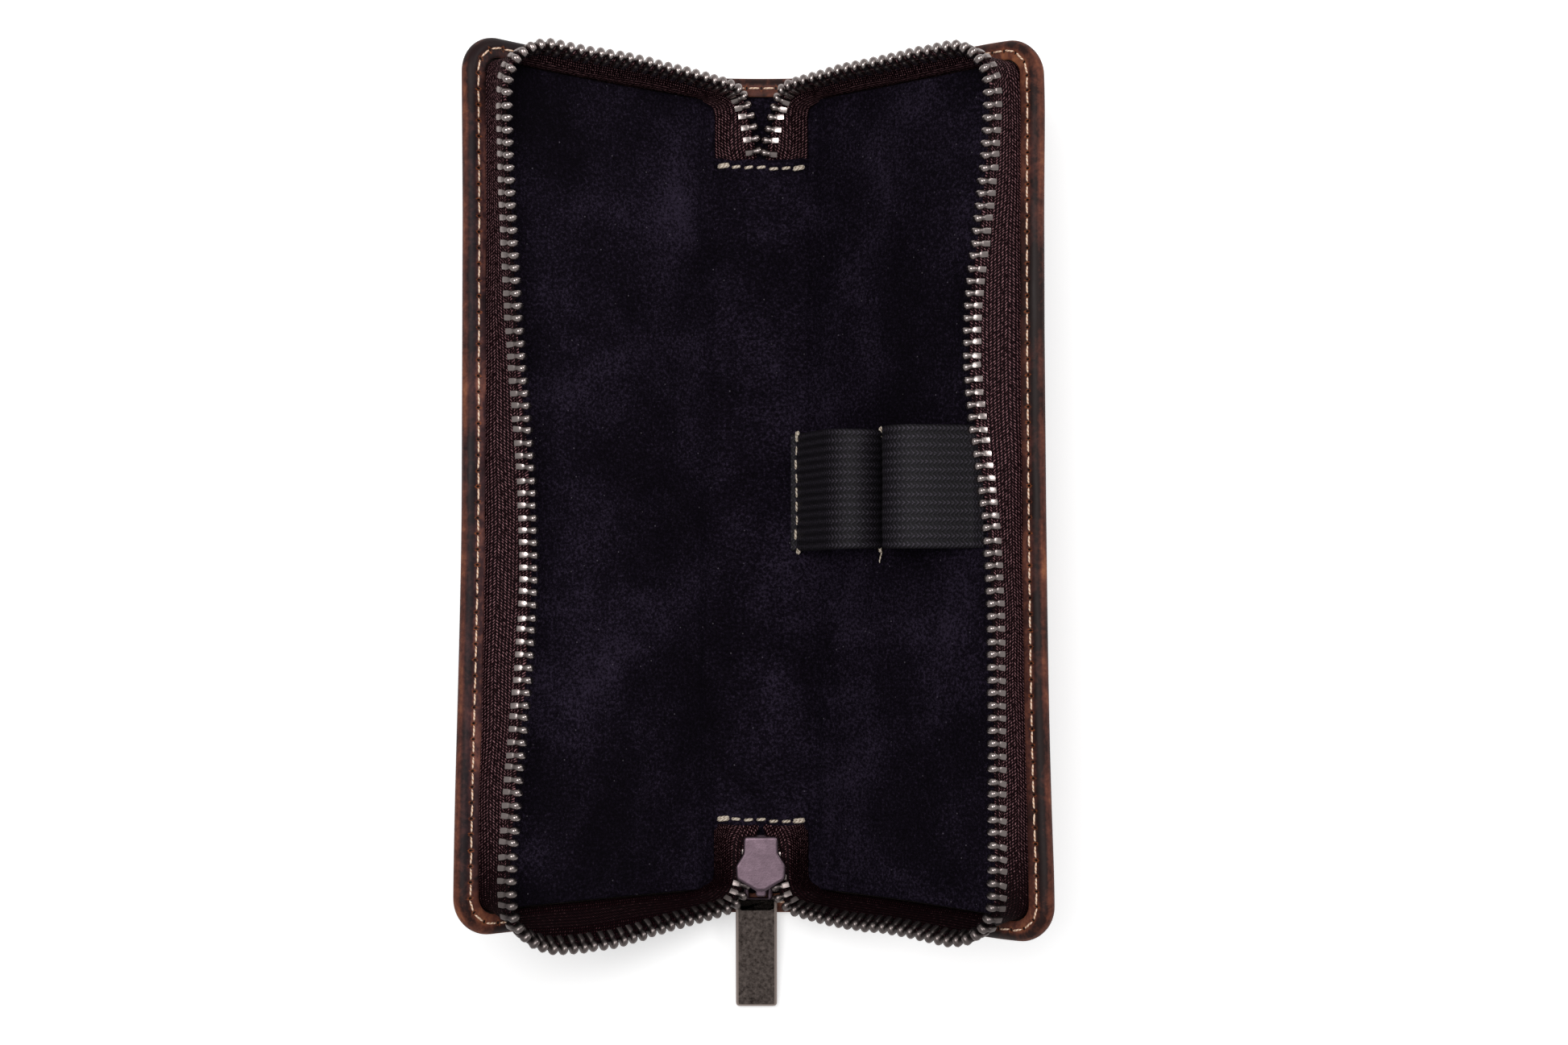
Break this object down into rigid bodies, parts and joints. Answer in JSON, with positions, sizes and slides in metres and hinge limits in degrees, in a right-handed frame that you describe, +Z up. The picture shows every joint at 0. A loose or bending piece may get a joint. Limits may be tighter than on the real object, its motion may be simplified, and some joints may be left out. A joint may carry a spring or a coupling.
{
  "type": "pen case",
  "caption": "Zip-round pen case of brown leather, lying open on its spine, with a suede lining, two elastic pen loops and a metal zip with a hanging pull tab.",
  "frame": {"origin": "centre of the spine's underside, which rests on the table", "axes": "+X towards the cover with the pen loops, +Y along the spine away from the slider, +Z up out of the open case"},
  "size_m": [0.1167, 0.2022, 0.0502],
  "materials": {
    "leather": "waxed pull-up leather",
    "board": "grey fibre board",
    "padding": "thin foam",
    "suede": "suede nap",
    "tape": "herringbone woven tape",
    "teeth": "antique nickel",
    "slider_metal": "antique nickel",
    "elastic": "knitted elastic",
    "thread": "waxed thread"
  },
  "bodies": {
    "spine": {"spine_leather": "leather", "spine_board": "board", "spine_lining": "suede", "spine_edge_stitching": "thread", "strip_end_stitching": "thread", "top_tape_ends": "tape", "bottom_tape_ends": "tape", "top_end_teeth": "teeth", "bottom_end_teeth": "teeth", "elastic_foot": "elastic", "elastic_foot_stitching": "thread"},
    "left_cover": {"left_leather": "leather", "left_board": "board", "left_padding": "padding", "left_lining": "suede", "left_edge_stitching": "thread", "left_tape": "tape", "left_teeth": "teeth", "left_tape_bends": "tape", "left_bend_teeth": "teeth"},
    "right_cover": {"right_leather": "leather", "right_board": "board", "right_padding": "padding", "right_lining": "suede", "right_edge_stitching": "thread", "right_tape": "tape", "right_teeth": "teeth", "right_tape_bends": "tape", "right_bend_teeth": "teeth", "elastic_web": "elastic", "elastic_loops": "elastic", "elastic_stitching": "thread"},
    "slider": {"slider_body": "slider_metal"},
    "ring": {"pull_ring": "slider_metal"},
    "pull": {"pull_tab": "slider_metal"}
  },
  "joints": [
    {"name": "left_cover_hinge", "type": "hinge", "parent": "spine", "child": "left_cover", "pos_m": [-0.0135, 0, 0.00065], "axis": [0, 1, 0], "range_deg": [-40, 50], "deforming": ["left_tape_bends", "left_bend_teeth"]},
    {"name": "right_cover_hinge", "type": "hinge", "parent": "spine", "child": "right_cover", "pos_m": [0.0135, 0, 0.00065], "axis": [0, -1, 0], "range_deg": [-44.3, 45.7], "deforming": ["right_tape_bends", "right_bend_teeth", "elastic_web"]},
    {"name": "slider_travel", "type": "slide", "parent": "spine", "child": "slider", "axis": [0, 1, 0], "range_m": [-0.004, 0]},
    {"name": "ring_swing", "type": "hinge", "parent": "slider", "child": "ring", "pos_m": [0, -0.0811, 0.00598], "axis": [1, 0, 0], "range_deg": [-3, 1]},
    {"name": "pull_swing", "type": "hinge", "parent": "ring", "child": "pull", "pos_m": [0, -0.0881, 0.00535], "axis": [1, 0, 0], "range_deg": [-115, 0.5]}
  ]
}
